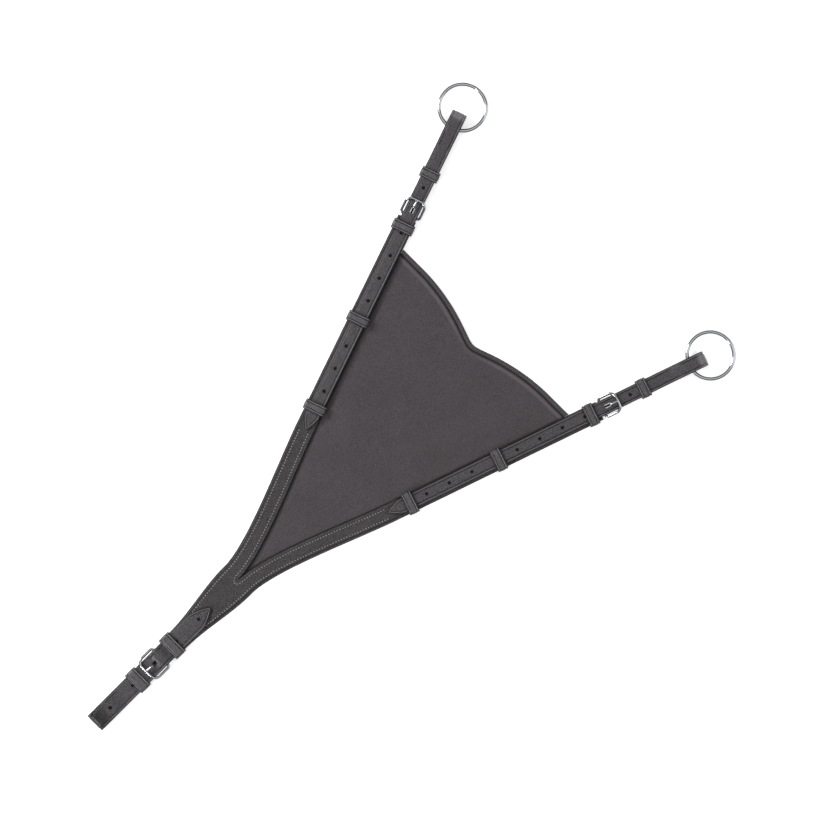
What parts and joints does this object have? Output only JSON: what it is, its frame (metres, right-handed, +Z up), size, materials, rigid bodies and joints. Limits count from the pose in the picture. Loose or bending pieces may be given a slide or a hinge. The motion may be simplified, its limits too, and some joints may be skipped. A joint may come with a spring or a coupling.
{
  "type": "bib martingale",
  "caption": "Y-shaped leather martingale with a leather bib between its arms, a buckled girth loop and a swinging rein ring on each arm.",
  "frame": {"origin": "under the middle of the part's box, on the surface that it lies on", "axes": "+Z up from that surface, +Y from the girth loop towards the rein rings, X across the two arms"},
  "size_m": [0.3612, 0.6482, 0.0112],
  "materials": {
    "yoke_leather": "waxed bridle leather with stitched edges",
    "strap_leather": "waxed bridle leather with creased edges",
    "keeper_leather": "waxed bridle leather",
    "bib_leather": "soft grained leather",
    "lining": "matt suede side",
    "steel": "polished stainless steel"
  },
  "bodies": {
    "harness": {"yoke_backing": "yoke_leather", "yoke_top": "yoke_leather", "bib_face": "bib_leather", "bib_lining": "lining", "bib_piping": "bib_leather", "left_chape": "yoke_leather", "left_buckle_frame": "steel", "left_ring_strap": "strap_leather", "left_buckle_keeper": "keeper_leather", "left_upper_keeper": "keeper_leather", "left_lower_keeper": "keeper_leather", "right_chape": "yoke_leather", "right_buckle_frame": "steel", "right_ring_strap": "strap_leather", "right_buckle_keeper": "keeper_leather", "right_upper_keeper": "keeper_leather", "right_lower_keeper": "keeper_leather", "girth_chape": "yoke_leather", "girth_buckle_frame": "steel", "girth_strap": "strap_leather", "girth_buckle_keeper": "keeper_leather"},
    "left_rein_ring": {"left_ring": "steel"},
    "left_tongue": {"left_buckle_tongue": "steel"},
    "left_runner": {"left_running_keeper": "keeper_leather"},
    "right_rein_ring": {"right_ring": "steel"},
    "right_tongue": {"right_buckle_tongue": "steel"},
    "right_runner": {"right_running_keeper": "keeper_leather"},
    "girth_tongue": {"girth_buckle_tongue": "steel"},
    "girth_runner": {"girth_running_keeper": "keeper_leather"}
  },
  "joints": [
    {"name": "left_ring_swing", "type": "hinge", "parent": "harness", "child": "left_rein_ring", "pos_m": [-0.15071, 0.28124, 0.0057], "axis": [0.9455, 0.3256, 0], "range_deg": [-90, 140]},
    {"name": "left_tongue_lift", "type": "hinge", "parent": "harness", "child": "left_tongue", "pos_m": [-0.12235, 0.19888, 0.0028], "axis": [0.9455, 0.3256, 0], "range_deg": [0, 3]},
    {"name": "left_runner_slide", "type": "slide", "parent": "harness", "child": "left_runner", "axis": [-0.3256, 0.9455, 0], "range_m": [-0.019, 0.019]},
    {"name": "right_ring_swing", "type": "hinge", "parent": "harness", "child": "right_rein_ring", "pos_m": [0.15071, 0.28124, 0.0057], "axis": [0.9455, -0.3256, 0], "range_deg": [-90, 140]},
    {"name": "right_tongue_lift", "type": "hinge", "parent": "harness", "child": "right_tongue", "pos_m": [0.12235, 0.19888, 0.0028], "axis": [0.9455, -0.3256, 0], "range_deg": [0, 3]},
    {"name": "right_runner_slide", "type": "slide", "parent": "harness", "child": "right_runner", "axis": [0.3256, 0.9455, 0], "range_m": [-0.019, 0.019]},
    {"name": "girth_tongue_lift", "type": "hinge", "parent": "harness", "child": "girth_tongue", "pos_m": [0, -0.24011, 0.0049], "axis": [-1, 0, 0], "range_deg": [0, 3]},
    {"name": "girth_runner_slide", "type": "slide", "parent": "harness", "child": "girth_runner", "axis": [0, -1, 0], "range_m": [-0.004, 0.012]}
  ]
}
